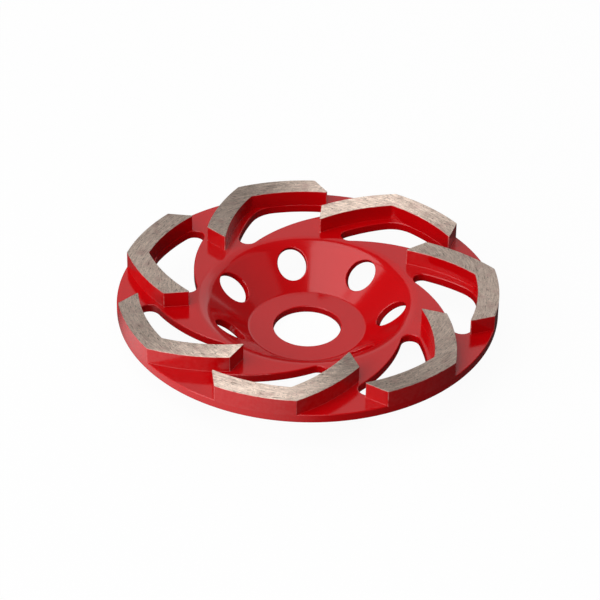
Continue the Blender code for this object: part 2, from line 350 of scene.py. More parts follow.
class Contour:
    """One side of the plate as a height over the radius, with its straights joined by arcs."""

    def __init__(self, bends: Sequence[Bend], last: float, fine: float = 0.02 * MM) -> None:
        """Works the contour out.

        Args:
            bends: The corners from the spindle outwards, with the two ends unrounded.
            last: The radius at which its rings stop.
            fine: The step at which the contour is kept.
        """
        self.last = last
        self.radii = np.arange(bends[0].radius, bends[-1].radius + fine, fine)
        corner_radii = [bend.radius for bend in bends]
        corner_heights = [bend.height for bend in bends]
        self.heights = np.interp(self.radii, corner_radii, corner_heights)
        slopes = [
            math.atan2(after.height - before.height, after.radius - before.radius)
            for before, after in zip(bends, bends[1:])
        ]
        self.slopes = np.array([slopes[min(int(np.searchsorted(corner_radii[1:-1], r)), len(slopes) - 1)]
                                for r in self.radii])
        self.arcs: list[tuple[float, float]] = []
        for bend, arriving, leaving in zip(bends[1:-1], slopes, slopes[1:]):
            reach = bend.rounding * math.tan(abs(leaving - arriving) / 2)
            first = bend.radius - reach * math.cos(arriving)
            last = bend.radius + reach * math.cos(leaving)
            self.arcs.append((first, last))
            sign = 1.0 if leaving > arriving else -1.0
            centre = first - sign * bend.rounding * math.sin(arriving)
            middle = bend.height - reach * math.sin(arriving) + sign * bend.rounding * math.cos(arriving)
            inside = (self.radii >= first) & (self.radii <= last)
            turned = np.arcsin(sign * (self.radii[inside] - centre) / bend.rounding)
            self.slopes[inside] = turned
            self.heights[inside] = middle - sign * bend.rounding * np.cos(turned)

    def height(self, spots: np.ndarray) -> np.ndarray:
        """The contour's height over rows that start with x and y."""
        return np.interp(np.hypot(spots[:, 0], spots[:, 1]), self.radii, self.heights)

    def facing(self, spots: np.ndarray) -> np.ndarray:
        """The upward direction square to the contour.

        Args:
            spots: Rows that start with x and y.

        Returns:
            The direction over each row, as rows of x, y and z.
        """
        lean = np.interp(np.hypot(spots[:, 0], spots[:, 1]), self.radii, self.slopes)
        around = np.arctan2(spots[:, 1], spots[:, 0])
        return np.stack([-np.sin(lean) * np.cos(around), -np.sin(lean) * np.sin(around), np.cos(lean)], axis=1)

    def rings(self, spacings: Sequence[float], bend_steps: int) -> np.ndarray:
        """The radii that the sheet is divided at.

        Args:
            spacings: The step on each straight, from the spindle outwards.
            bend_steps: How many steps each arc is given.

        Returns:
            The radii, rising.
        """
        stops = [self.radii[0]]
        edges = [self.radii[0], *[edge for pair in self.arcs for edge in pair], self.last]
        for index in range(len(edges) - 1):
            low, high = edges[index], edges[index + 1]
            steps = bend_steps if index % 2 else max(1, math.ceil((high - low) / spacings[index // 2]))
            stops += list(np.linspace(low, high, steps + 1)[1:])
        return np.array(stops)


@dataclass(frozen=True)
class WheelPlan:
    """The plan that the cup and the segments share: where the chevrons and the slots beside them lie."""

    rim_radius: float = 62.5 * MM
    crest_radius: float = 34.084 * MM
    copies: int = 7
    flange_top: float = 13.6 * MM
    flange_bottom: float = 10.6 * MM
    segment_width: float = 7.0 * MM
    elbow_angle: float = math.radians(10.3)
    leg_fold: float = math.radians(33.3)
    leg_crest_land: float = 4.47 * MM
    leg_end_skew: float = math.radians(39.1)
    elbow_inner_radius: float = 1.5 * MM
    upright_edge: float = 0.35 * MM
    slot_rim_ledge: float = 0.1 * MM
    slot_leg_ledge: float = 2.0 * MM
    slot_ledge_flare: float = math.radians(3.9)
    slot_crest_land: float = 2.8 * MM
    slot_inner_edge_radius: float = 50.7 * MM
    slot_tip_radius: float = 3.0 * MM
    slot_elbow_radius: float = 10.0 * MM
    slot_rim_end_radius: float = 3.3 * MM
    slot_past_segment: float = 0.5 * MM
    side_steps: int = 8
    upright_steps: int = 4
    end_face_steps: int = 6
    elbow_upright_steps: int = 2
    elbow_inner_steps: int = 3
    slot_corner_steps: int = 10

    @property
    def pitch(self) -> float:
        """The turn from one segment to the next."""
        return math.tau / self.copies

    @property
    def inner_radius(self) -> float:
        """The radius of the inner face of a segment's rim leg."""
        return self.rim_radius - self.segment_width

    @property
    def elbow(self) -> Vector:
        """The chevron's outer elbow, on the rim."""
        return polar(self.rim_radius, self.elbow_angle)

    @property
    def fold(self) -> float:
        """The direction of the line that mirrors one leg onto the other."""
        return self.elbow_angle + self.leg_fold / 2

    def leg_centre(self) -> Vector:
        """The centre of the second leg's arcs."""
        return reflected(AXIS, self.elbow, self.fold)

    def rim_leg_inner_end(self) -> Vector:
        """The inner corner at the end of the rim leg.

        Returns:
            The plan point, which mirrors the other leg's corner by the crest.
        """
        beside_crest = circles_meet(
            AXIS, self.crest_radius + self.leg_crest_land, self.leg_centre(), self.inner_radius
        )
        return reflected(beside_crest, self.elbow, self.fold)

    def chevron(self, spacing: float) -> Outline:
        """One segment in plan, with its upright edges rounded.

        Args:
            spacing: The longest step along the line.

        Returns:
            The closed outline, with its outward directions.
        """
        edge = self.upright_edge
        corner = self.rim_leg_inner_end()
        along = angle_from(AXIS, corner) + self.leg_end_skew
        inward = left_of(polar(1.0, along))
        at_elbow = line_meets_circle(self.elbow, self.fold, self.rim_radius - edge)
        at_outer = line_meets_circle(corner + edge * inward, along, self.rim_radius - edge)
        at_inner = line_meets_circle(corner + edge * inward, along, self.inner_radius + edge)
        at_bend = line_meets_circle(self.elbow, self.fold, self.inner_radius - self.elbow_inner_radius)
        end_face = angle_from(AXIS, -inward)
        half = Outline(spacing)
        start = angle_from(AXIS, at_elbow)
        half.add_arc(at_elbow, edge, self.fold, short_turn(self.fold, start), 1.0, self.elbow_upright_steps)
        stop = angle_from(AXIS, at_outer)
        half.add_arc(AXIS, self.rim_radius, start, short_turn(start, stop), 1.0, self.side_steps)
        half.add_arc(at_outer, edge, stop, short_turn(stop, end_face), 1.0, self.upright_steps)
        for step in range(1, self.end_face_steps):
            half.add(at_outer - edge * inward + (at_inner - at_outer) * step / self.end_face_steps, -inward)
        start = angle_from(AXIS, at_inner)
        half.add_arc(at_inner, edge, end_face, short_turn(end_face, start + math.pi), 1.0, self.upright_steps)
        stop = angle_from(AXIS, at_bend)
        half.add_arc(AXIS, self.inner_radius, start, short_turn(start, stop), -1.0, self.side_steps)
        half.add_arc(at_bend, self.elbow_inner_radius, stop, short_turn(stop, self.fold), -1.0,
                     self.elbow_inner_steps)
        whole = Outline(spacing, list(half.points), list(half.outward))
        for point, outward in reversed(list(zip(half.points, half.outward))):
            whole.add(reflected(point, self.elbow, self.fold), reflected(outward, AXIS, self.fold))
        whole.close()
        return whole

    def slot(self, spacing: float) -> Outline:
        """One slot in plan: three arcs joined by three rounded corners.

        Args:
            spacing: The longest step along the line.

        Returns:
            The closed outline of the opening, with the directions that point into the plate.
        """
        leg_centre = self.leg_centre()
        elbow = circles_meet(AXIS, self.inner_radius, leg_centre, self.inner_radius)
        rim_edge = self.inner_radius - self.slot_rim_ledge
        leg_edge = self.inner_radius - self.slot_leg_ledge
        leg_edge_centre = elbow + Matrix.Rotation(self.slot_ledge_flare, 2) @ (leg_centre - elbow)
        tip_distance = self.crest_radius + self.slot_crest_land + self.slot_tip_radius
        at_tip = circles_meet(AXIS, tip_distance, leg_edge_centre, leg_edge - self.slot_tip_radius)
        rim_end_distance = rim_edge - self.slot_rim_end_radius
        reach = math.asin(self.slot_rim_end_radius / rim_end_distance) - self.slot_past_segment / rim_edge
        at_rim_end = polar(rim_end_distance, angle_from(AXIS, self.rim_leg_inner_end()) + reach)
        at_elbow = circles_meet(
            AXIS, rim_edge - self.slot_elbow_radius, leg_edge_centre, leg_edge - self.slot_elbow_radius
        )
        inner_centre = circles_meet(
            at_rim_end, self.slot_inner_edge_radius + self.slot_rim_end_radius,
            at_tip, self.slot_inner_edge_radius + self.slot_tip_radius,
        )
        corners = [
            (at_elbow, self.slot_elbow_radius, angle_from(AXIS, at_elbow), angle_from(leg_edge_centre, at_elbow)),
            (at_tip, self.slot_tip_radius, angle_from(leg_edge_centre, at_tip), angle_from(at_tip, inner_centre)),
            (at_rim_end, self.slot_rim_end_radius, angle_from(at_rim_end, inner_centre),
             angle_from(AXIS, at_rim_end)),
        ]
        sides = [
            (leg_edge_centre, leg_edge, 1.0),
            (inner_centre, self.slot_inner_edge_radius, -1.0),
            (AXIS, rim_edge, 1.0),
        ]
        line = Outline(spacing)
        for index, (centre, radius, start, end) in enumerate(corners):
            line.add_arc(centre, radius, start, (end - start) % math.tau, 1.0, self.slot_corner_steps)
            next_centre, next_radius, next_start, _ = corners[(index + 1) % 3]
            side_centre, side_radius, side = sides[index]
            begin = angle_from(side_centre, line.points[-1])
            finish = angle_from(side_centre, polar(next_radius, next_start, next_centre))
            line.add_arc(side_centre, side_radius, begin, short_turn(begin, finish), side, self.side_steps)
        line.close()
        return line


@dataclass(frozen=True)
class Waves:
    """A noise: its waves to the unit of length, its finer layers, and how strong those are."""

    scale: float
    detail: float
    roughness: float = 0.5


@dataclass
class Tree:
    """A node tree being built, in which each node is placed together with what feeds its inputs."""

    group: bpy.types.NodeTree

    def feed(self, node: bpy.types.Node, key: int | str, value: Value) -> None:
        """Sets an input, or joins another node's output to it.

        Args:
            node: The node.
            key: The input's place or name.
            value: A value, a node for its first output, or a node and the place or name of its output.
        """
        if isinstance(value, bpy.types.Node):
            value = (value, 0)
        if isinstance(value, tuple) and isinstance(value[0], bpy.types.Node):
            source, output = value
            self.group.links.new(source.outputs[output], node.inputs[key])
        else:
            node.inputs[key].default_value = value

    def feed_all(self, node: bpy.types.Node, values: dict[str, Value]) -> None:
        """Feeds several of a node's inputs, by name."""
        for key, value in values.items():
            self.feed(node, key, value)

    def node(self, kind: str, **settings: object) -> bpy.types.Node:
        """Places a node.

        Args:
            kind: The node's type name.
            **settings: The node's properties, or what feeds its inputs where the name starts with in_.

        Returns:
            The node.
        """
        made = self.group.nodes.new(kind)
        for name, value in settings.items():
            if name.startswith("in_"):
                key = name[3:]
                self.feed(made, int(key) if key.isdigit() else key.replace("_", " "), value)
            else:
                setattr(made, name, value)
        return made

    def maths(self, operation: str, *values: Value, clamp: bool = False) -> bpy.types.Node:
        """Places a calculation with numbers.

        Args:
            operation: What it works out.
            *values: What it works with.
            clamp: Whether the result is kept from 0 to 1.

        Returns:
            The node.
        """
        return self.node("ShaderNodeMath", operation=operation, use_clamp=clamp,
                         **{f"in_{place}": value for place, value in enumerate(values)})

    def vector(self, operation: str, *values: Value, **settings: Value) -> bpy.types.Node:
        """Places a calculation with vectors.

        Args:
            operation: What it works out.
            *values: The vectors that it works with.
            **settings: What feeds its other inputs.

        Returns:
            The node.
        """
        return self.node("ShaderNodeVectorMath", operation=operation,
                         **{f"in_{place}": value for place, value in enumerate(values)}, **settings)

    def span(
        self, value: Value, low: Value, high: Value, to_low: float = 0.0, to_high: float = 1.0, smooth: bool = False
    ) -> bpy.types.Node:
        """Places a change of range, which stops at the range's ends.

        Args:
            value: What is changed.
            low: Where the range starts.
            high: Where it ends.
            to_low: What its start becomes.
            to_high: What its end becomes.
            smooth: Whether it eases in and out.

        Returns:
            The node.
        """
        return self.node("ShaderNodeMapRange", interpolation_type="SMOOTHSTEP" if smooth else "LINEAR",
                         in_0=value, in_1=low, in_2=high, in_3=to_low, in_4=to_high)

    def here(self) -> Source:
        """The place on the surface, in metres from the object's own origin."""
        return self.node("ShaderNodeTexCoord"), "Object"

    def noise(self, place: Value, waves: Waves) -> bpy.types.Node:
        """Places a noise that is read at this place."""
        return self.node("ShaderNodeTexNoise", in_Vector=place, in_Scale=waves.scale, in_Detail=waves.detail,
                         in_Roughness=waves.roughness)

    def mix(self, mask: Value, low: Source | Colour, high: Source | Colour) -> Source:
        """Places a mix of two colours.

        Args:
            mask: The share of the second, from 0 to 1.
            low: The first colour.
            high: The second colour.

        Returns:
            The node and its colour output.
        """
        low, high = (colour if isinstance(colour[0], bpy.types.Node) else (*colour, 1.0) for colour in (low, high))
        return self.node("ShaderNodeMix", data_type="RGBA", in_0=mask, in_6=low, in_7=high), 2

    def bump(self, height: Value, depth: float) -> bpy.types.Node:
        """Places a bump, as deep as this where the height falls by 1."""
        return self.node("ShaderNodeBump", in_Strength=1.0, in_Distance=depth, in_Height=height)


def new_group(
    name: str, kind: str, inputs: Sequence[tuple[str, str]], outputs: Sequence[tuple[str, str]]
) -> tuple[Tree, bpy.types.Node]:
    """Makes a node group.

    Args:
        name: Its name.
        kind: Its tree type's name.
        inputs: The names and kinds of its inputs.
        outputs: The names and kinds of its outputs.

    Returns:
        The tree, and the node that gives its inputs.
    """
    tree = Tree(bpy.data.node_groups.new(name, kind))
    for way, sockets in (("INPUT", inputs), ("OUTPUT", outputs)):
        for label, socket_kind in sockets:
            tree.group.interface.new_socket(name=label, in_out=way, socket_type=f"NodeSocket{socket_kind}")
    return tree, tree.node("NodeGroupInput")


def ring_tree() -> bpy.types.NodeTree:
    """The tree that turns one sector of the cup into the whole, and welds it.

    Returns:
        A tree with the inputs Copies, Weld Distance and Finish.
    """
    tree, given = new_group("sectors_round_spindle", "GeometryNodeTree", [
        ("Geometry", "Geometry"), ("Copies", "Int"), ("Weld Distance", "Float"), ("Finish", "Material"),
    ], [("Geometry", "Geometry")])
    points = tree.node("GeometryNodePoints", in_Count=(given, "Copies"))
    pitch = tree.maths("DIVIDE", math.tau, (given, "Copies"))
    turn = tree.maths("MULTIPLY", pitch, tree.node("GeometryNodeInputIndex"))
    axis = tree.node("FunctionNodeAxisAngleToRotation", in_Axis=(0.0, 0.0, 1.0), in_Angle=turn)
    copies = tree.node("GeometryNodeInstanceOnPoints", in_Points=points, in_Instance=(given, "Geometry"),
                       in_Rotation=axis)
    realised = tree.node("GeometryNodeRealizeInstances", in_0=copies)
    welded = tree.node("GeometryNodeMergeByDistance", in_Geometry=realised, in_Distance=(given, "Weld Distance"))
    dressed = tree.node("GeometryNodeSetMaterial", in_Geometry=welded, in_Material=(given, "Finish"))
    tree.node("NodeGroupOutput", in_0=dressed)
    return tree.group


def chevron_tree() -> bpy.types.NodeTree:
    """The tree that sets diamond grit in a chevron's ground top, and turns the whole to its place.

    Returns:
        A tree with the inputs Turn, Grit Density, Grit Spacing, Smallest, Largest, Seed, Side Finish, Top Finish
        and Grit Finish.
    """
    tree, given = new_group("chevron_on_ring", "GeometryNodeTree", [
        ("Geometry", "Geometry"), ("Turn", "Float"), ("Grit Density", "Float"), ("Grit Spacing", "Float"),
        ("Smallest", "Float"), ("Largest", "Float"), ("Seed", "Int"), ("Side Finish", "Material"),
        ("Top Finish", "Material"), ("Grit Finish", "Material"),
    ], [("Geometry", "Geometry")])
    is_top, is_grit = (tree.node("GeometryNodeInputNamedAttribute", data_type="BOOLEAN", in_Name=name)
                       for name in (TOP_ATTRIBUTE, GRIT_ATTRIBUTE))
    seed = (given, "Seed")
    scatter = tree.node("GeometryNodeDistributePointsOnFaces", distribute_method="POISSON",
                        in_Mesh=(given, "Geometry"), in_Selection=is_top, in_Density_Max=(given, "Grit Density"),
                        in_Distance_Min=(given, "Grit Spacing"), in_Seed=seed)
    crystal = tree.node("GeometryNodeMeshIcoSphere", in_Radius=1.0, in_Subdivisions=1)
    marked = tree.node("GeometryNodeStoreNamedAttribute", data_type="BOOLEAN", domain="FACE",
                       in_Geometry=crystal, in_Name=GRIT_ATTRIBUTE)
    next(socket for socket in marked.inputs if socket.name == "Value" and socket.enabled).default_value = True
    size = tree.node("FunctionNodeRandomValue", data_type="FLOAT", in_2=(given, "Smallest"),
                     in_3=(given, "Largest"), in_Seed=seed)
    spin = tree.node("FunctionNodeRandomValue", data_type="FLOAT_VECTOR", in_1=(math.tau,) * 3, in_Seed=seed)
    facing = tree.node("FunctionNodeEulerToRotation", in_0=spin)
    grit = tree.node("GeometryNodeInstanceOnPoints", in_Points=scatter, in_Instance=marked, in_Rotation=facing,
                     in_Scale=(size, 1))
    whole = tree.node("GeometryNodeJoinGeometry", in_0=(given, "Geometry"))
    tree.feed(whole, 0, grit)
    turn = tree.node("ShaderNodeCombineXYZ", in_Z=(given, "Turn"))
    placed = tree.node("GeometryNodeTransform", in_Geometry=whole, in_Rotation=turn)
    dressed = tree.node("GeometryNodeRealizeInstances", in_0=placed)
    for finish, chosen in (("Side Finish", True), ("Top Finish", is_top), ("Grit Finish", is_grit)):
        dressed = tree.node("GeometryNodeSetMaterial", in_Geometry=dressed, in_Selection=chosen,
                            in_Material=(given, finish))
    tree.node("NodeGroupOutput", in_0=dressed)
    return tree.group


def grown_piece(
    name: str, mesh: bpy.types.Mesh, group: bpy.types.NodeTree, values: dict[str, object]
) -> bpy.types.Object:
    """Runs a tree on a mesh and keeps the result as a plain piece at the origin.

    Args:
        name: The piece's name.
        mesh: The mesh that the tree starts from.
        group: The Geometry Nodes tree.
        values: The values of its named inputs.

    Returns:
        The finished object, with no modifier on it.
    """
    piece = bpy.data.objects.new(name, mesh)
    bpy.context.scene.collection.objects.link(piece)
    modifier = piece.modifiers.new("grow", "NODES")
    modifier.node_group = group
    for item in group.interface.items_tree:
        if item.in_out == "INPUT" and item.name in values:
            modifier[item.identifier] = values[item.name]
    graph = bpy.context.evaluated_depsgraph_get()
    grown = bpy.data.meshes.new_from_object(piece.evaluated_get(graph), depsgraph=graph)
    piece.modifiers.remove(modifier)
    piece.data = grown
    grown.name = name
    bpy.data.meshes.remove(mesh)
    grown.polygons.foreach_set("use_smooth", [True] * len(grown.polygons))
    settle_normals(grown)
    return piece


@dataclass
class CupBody:
    """The pressed steel cup: hub, cone and flange in one piece, with its slots and dust holes."""

    plan: WheelPlan
    bore_radius: float = 11.115 * MM
    hub_flat_radius: float = 19.3 * MM
    hub_thickness: float = 2.5 * MM
    cone_thickness: float = 2.5 * MM
    crest_bend: float = 8.0 * MM
    hub_bend: float = 1.5 * MM
    rim_edge: float = 0.4 * MM
    bore_edge: float = 0.4 * MM
    slot_edge: float = 0.4 * MM
    hole_edge_above: float = 0.35 * MM
    hole_edge_below: float = 0.65 * MM
    hole_half_width: float = 4.90 * MM
    hole_half_length: float = 5.83 * MM
    hole_up_slope: float = 10.14 * MM
    hole_angle: float = math.radians(-1.4)
    columns: int = 40
    edge_steps: int = 4
    hole_edge_steps: int = 6
    hole_outline_steps: int = 56
    bend_steps: int = 9
    settling_steps: int = 12
    top_spacings: tuple[float, float, float] = (2.0 * MM, 1.0 * MM, 2.6 * MM)
    bottom_spacings: tuple[float, float, float] = (2.6 * MM, 1.2 * MM, 3.2 * MM)
    slot_spacing: float = 1.2 * MM
    clear_of_openings: float = 0.3 * MM
    thinnest_face: float = 1e-4 * MM**2

    @property
    def depth(self) -> float:
        """How deep the cup is, from the flange's top to the hub's."""
        return self.plan.flange_top - self.hub_thickness

    @property
    def cone_angle(self) -> float:
        """The slope of the cone wall."""
        return math.atan2(self.depth, self.plan.crest_radius - self.hub_flat_radius)

    def top(self) -> Contour:
        """The grinding side of the plate, from bore to rim.

        Returns:
            Its contour.
        """
        plan = self.plan
        return Contour([
            Bend(self.bore_radius + self.bore_edge, self.hub_thickness),
            Bend(self.hub_flat_radius, self.hub_thickness, self.hub_bend),
            Bend(plan.crest_radius, plan.flange_top, self.crest_bend),
            Bend(plan.rim_radius, plan.flange_top),
        ], plan.rim_radius - self.rim_edge)

    def bottom(self) -> Contour:
        """The grinder's side of the plate, from bore to rim, which keeps the plate's thickness.

        Returns:
            Its contour.
        """
        plan = self.plan
        drop = self.cone_thickness / math.cos(self.cone_angle)
        rise = math.tan(self.cone_angle)
        return Contour([
            Bend(self.bore_radius + self.bore_edge, 0.0),
            Bend(self.hub_flat_radius + (drop - self.hub_thickness) / rise, 0.0,
                 self.hub_bend + self.cone_thickness),
            Bend(self.hub_flat_radius + (self.depth + drop - plan.flange_top + plan.flange_bottom) / rise,
                 plan.flange_bottom, self.crest_bend - self.cone_thickness),
            Bend(plan.rim_radius, plan.flange_bottom),
        ], plan.rim_radius - self.rim_edge)

    def hole(self) -> Outline:
        """One dust hole on the slope, as x up the slope and y along the turn.

        Returns:
            The closed outline of the opening, with its outward directions.
        """
        line = Outline()
        for step in range(self.hole_outline_steps):
            angle = math.tau * step / self.hole_outline_steps
            way = Vector((self.hole_half_width * math.cos(angle), self.hole_half_length * math.sin(angle)))
            line.add(Vector((self.hole_half_length * math.cos(angle), self.hole_half_width * math.sin(angle))), way)
        return line

    def hole_point(self, local: np.ndarray, contour: Contour, below: np.ndarray) -> tuple[np.ndarray, np.ndarray]:
        """Points under one side of the cone wall, reached square to the wall from the hole's own plane.

        Args:
            local: Rows of x up the slope and y along the turn, from the hole's middle.
            contour: The side of the plate to measure from.
            below: How far beyond that side each point is, towards the plate's other side if negative.

        Returns:
            The points, and the surface's direction over each.
        """
        slope, angle = self.cone_angle, self.hole_angle
        radius = self.hub_flat_radius + self.hole_up_slope * math.cos(slope)
        middle = np.array([radius, 0.0, self.hub_thickness + self.hole_up_slope * math.sin(slope)])
        up_slope = np.array([math.cos(slope), 0.0, math.sin(slope)])
        out = np.array([-math.sin(slope), 0.0, math.cos(slope)])
        flat = middle + local[:, :1] * up_slope + local[:, 1:] * np.array([0.0, 1.0, 0.0])
        raised = np.zeros(len(local))
        for _ in range(self.settling_steps):
            at = flat + raised[:, None] * out
            raised -= (at[:, 2] - contour.height(at)) * math.cos(slope)
        at = flat + raised[:, None] * out
        turned = np.array(Matrix.Rotation(angle, 3, "Z"))
        return (at + below[:, None] * out) @ turned.T, contour.facing(at) @ turned.T

    def sheet(
        self, shell: Shell, contour: Contour, up: float, openings: Sequence[np.ndarray], rings: np.ndarray
    ) -> None:
        """Adds one side of a sector, with its openings left out.

        Args:
            shell: The shell that it is added to.
            contour: The side's heights.
            up: 1 for the grinding side, -1 for the grinder's.
            openings: The plan outlines of the openings' rounded edges, where they meet this side.
            rings: The radii that the side is divided at.
        """
        half = self.plan.pitch / 2
        angles = np.linspace(-half, half, self.columns + 1)
        grid = [[polar(radius, angle) for angle in angles] for radius in rings]
        points = [tuple(point) for row in grid for point in row]
        width = self.columns + 1
        rows = len(rings)
        keep = np.ones(len(points), dtype=bool)
        spots = np.array(points)
        for line in openings:
            keep &= ~inside_line(spots, line, self.clear_of_openings)
        border = np.zeros((rows, width), dtype=bool)
        border[0] = border[-1] = True
        border[:, 0] = border[:, -1] = True
        keep |= border.ravel()
        place = np.full(len(points), -1)
        place[keep] = np.arange(keep.sum())
        flat = list(spots[keep])
        walls = [(place[row * width + column], place[row * width + column + 1])
                 for row in (0, rows - 1) for column in range(self.columns)]
        walls += [(place[row * width + column], place[(row + 1) * width + column])
                  for column in (0, width - 1) for row in range(rows - 1)]
        for line in openings:
            start = len(flat)
            flat += list(line)
            walls += [(start + i, start + (i + 1) % len(line)) for i in range(len(line))]
        made, _, faces, _, _, _ = delaunay_2d_cdt(
            [Vector(point) for point in flat], [(int(a), int(b)) for a, b in walls], [], 0, FILL_TOLERANCE)
        spots = np.array([tuple(point) for point in made])
        faces = np.array(faces)
        middles = spots[faces].mean(axis=1)
        sides = spots[faces[:, 1:]] - spots[faces[:, :1]]
        spread = np.abs(sides[:, 0, 0] * sides[:, 1, 1] - sides[:, 0, 1] * sides[:, 1, 0])
        wanted = (np.hypot(middles[:, 0], middles[:, 1]) > rings[0]) & (spread > self.thinnest_face)
        for line in openings:
            wanted &= ~inside_line(middles, line, 0.0)
        shell.add(np.column_stack([spots, contour.height(spots)]), up * contour.facing(spots), faces[wanted])

    def turned_edge(self, shell: Shell, radius: float, rounding: float, side: float, low: float, high: float) -> None:
        """Adds the wall of the bore or the rim, with both of its edges rounded.

        Args:
            shell: The shell that it is added to.
            radius: The wall's radius.
            rounding: The radius of its edges.
            side: 1 where the wall faces away from the spindle, -1 where it faces it.
            low: The height of the plate's lower side.
            high: The height of its upper side.
        """
        half = self.plan.pitch / 2
        angles = np.linspace(-half, half, self.columns + 1)
        around = np.stack([np.cos(angles), np.sin(angles)], axis=1)
        rings, normals = [], []
        for base, up in ((high, 1.0), (low, -1.0)):
            for turn in quarter(self.edge_steps, up):
                reach = radius - side * rounding * (1 - math.sin(turn))
                height = base - up * rounding * (1 - math.cos(turn))
                rings.append(np.column_stack([around * reach, np.full(len(angles), height)]))
                normals.append(np.column_stack(
                    [around * side * math.sin(turn), np.full(len(angles), up * math.cos(turn))]))
        shell.add_strips(rings, normals, False)

    def slot_wall(self, shell: Shell, slot: Outline, top: Contour, bottom: Contour) -> None:
        """Adds the wall of the slot, with its two edges rounded.

        Args:
            shell: The shell that it is added to.
            slot: The slot in plan.
            top: The grinding side of the plate.
            bottom: The grinder's side of the plate.
        """
        ways, rings, normals = slot.ways(), [], []
        for contour, up in ((top, 1.0), (bottom, -1.0)):
            for turn in quarter(self.edge_steps, up):
                line = slot.grown(self.slot_edge * (1 - math.sin(turn)))
                height = contour.height(line) - up * self.slot_edge * (1 - math.cos(turn))
                rings.append(np.column_stack([line, height]))
                normals.append(np.column_stack(
                    [-ways * math.sin(turn), np.full(len(line), up * math.cos(turn))]))
        shell.add_strips(rings, normals, True)

    def hole_wall(self, shell: Shell, hole: Outline, top: Contour, bottom: Contour) -> None:
        """Adds the wall of the dust hole, with its two edges rounded.

        Args:
            shell: The shell that it is added to.
            hole: The hole on the slope.
            top: The grinding side of the plate.
            bottom: The grinder's side of the plate.
        """
        slope = self.cone_angle
        turned = np.array(Matrix.Rotation(self.hole_angle, 3, "Z"))
        ways = hole.ways()
        outward = (ways[:, :1] * np.array([math.cos(slope), 0.0, math.sin(slope)])
                   + ways[:, 1:] * np.array([0.0, 1.0, 0.0])) @ turned.T
        rings, normals = [], []
        for contour, up, edge in ((top, 1.0, self.hole_edge_above), (bottom, -1.0, self.hole_edge_below)):
            for turn in quarter(self.hole_edge_steps, up):
                local = hole.grown(edge * (1 - math.sin(turn)))
                below = np.full(len(local), -up * edge * (1 - math.cos(turn)))
                points, facing = self.hole_point(local, contour, below)
                rings.append(points)
                normals.append(up * math.cos(turn) * facing - math.sin(turn) * outward)
        shell.add_strips(rings, normals, True)

    def build(self, lacquer: bpy.types.Material) -> bpy.types.Object:
        """Makes one sector, turns it round the spindle and welds it into the cup.

        Args:
            lacquer: The finish of the whole cup.

        Returns:
            The finished piece, which stands for the node cup_body.
        """
        plan = self.plan
        top, bottom = self.top(), self.bottom()
        slot, hole = plan.slot(self.slot_spacing), self.hole()
        shell = Shell()
        for contour, up, rounding, spacings in (
            (top, 1.0, self.hole_edge_above, self.top_spacings),
            (bottom, -1.0, self.hole_edge_below, self.bottom_spacings),
        ):
            edge, _ = self.hole_point(hole.grown(rounding), contour, np.zeros(len(hole.points)))
            openings = [slot.grown(self.slot_edge), edge[:, :2]]
            self.sheet(shell, contour, up, openings, contour.rings(spacings, self.bend_steps))
        self.turned_edge(shell, self.bore_radius, self.bore_edge, -1.0, 0.0, self.hub_thickness)
        self.turned_edge(shell, plan.rim_radius, self.rim_edge, 1.0, plan.flange_bottom, plan.flange_top)
        self.slot_wall(shell, slot, top, bottom)
        self.hole_wall(shell, hole, top, bottom)
        piece = grown_piece("pressed_cup", shell.mesh("cup_sector"), ring_tree(), {
            "Copies": plan.copies, "Weld Distance": SAME_POINT, "Finish": lacquer})
        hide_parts("cup_body")
        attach(piece, BODY)
        return piece


def inside_line(spots: np.ndarray, line: np.ndarray, margin: float) -> np.ndarray:
    """Which spots lie inside a closed line, or within a margin of it.

    Args:
        spots: Rows of x and y.
        line: The line's points, as rows of x and y.
        margin: The distance from the line that still counts.

    Returns:
        True for each spot inside.
    """
    after = np.roll(line, -1, axis=0)
    inside = np.zeros(len(spots), dtype=bool)
    nearest = np.full(len(spots), np.inf)
    for (x0, y0), (x1, y1) in zip(line, after):
        crosses = (y0 > spots[:, 1]) != (y1 > spots[:, 1])
        with np.errstate(divide="ignore", invalid="ignore"):
            reach = x0 + (spots[:, 1] - y0) * (x1 - x0) / (y1 - y0)
        inside ^= crosses & (spots[:, 0] < reach)
        way = np.array([x1 - x0, y1 - y0])
        share = np.clip(((spots - (x0, y0)) @ way) / (way @ way), 0.0, 1.0)
        nearest = np.minimum(nearest, np.hypot(*(spots - (x0, y0) - share[:, None] * way).T))
    return inside | (nearest < margin)


def filled(line: np.ndarray, inner: np.ndarray) -> tuple[np.ndarray, np.ndarray]:
    """Triangles that fill a closed plan line.

    Args:
        line: The line's points, as rows of x and y.
        inner: More points, inside it, that the triangles use.

    Returns:
        The points, and the triples of their places.
    """
    walls = [(i, (i + 1) % len(line)) for i in range(len(line))]
    made, _, faces, _, _, _ = delaunay_2d_cdt(
        [Vector(point) for point in (*line, *inner)], walls, [], 0, FILL_TOLERANCE)
    spots, faces = np.array([tuple(point) for point in made]), np.array(faces)
    return spots, faces[inside_line(spots[faces].mean(axis=1), line, 0.0)]


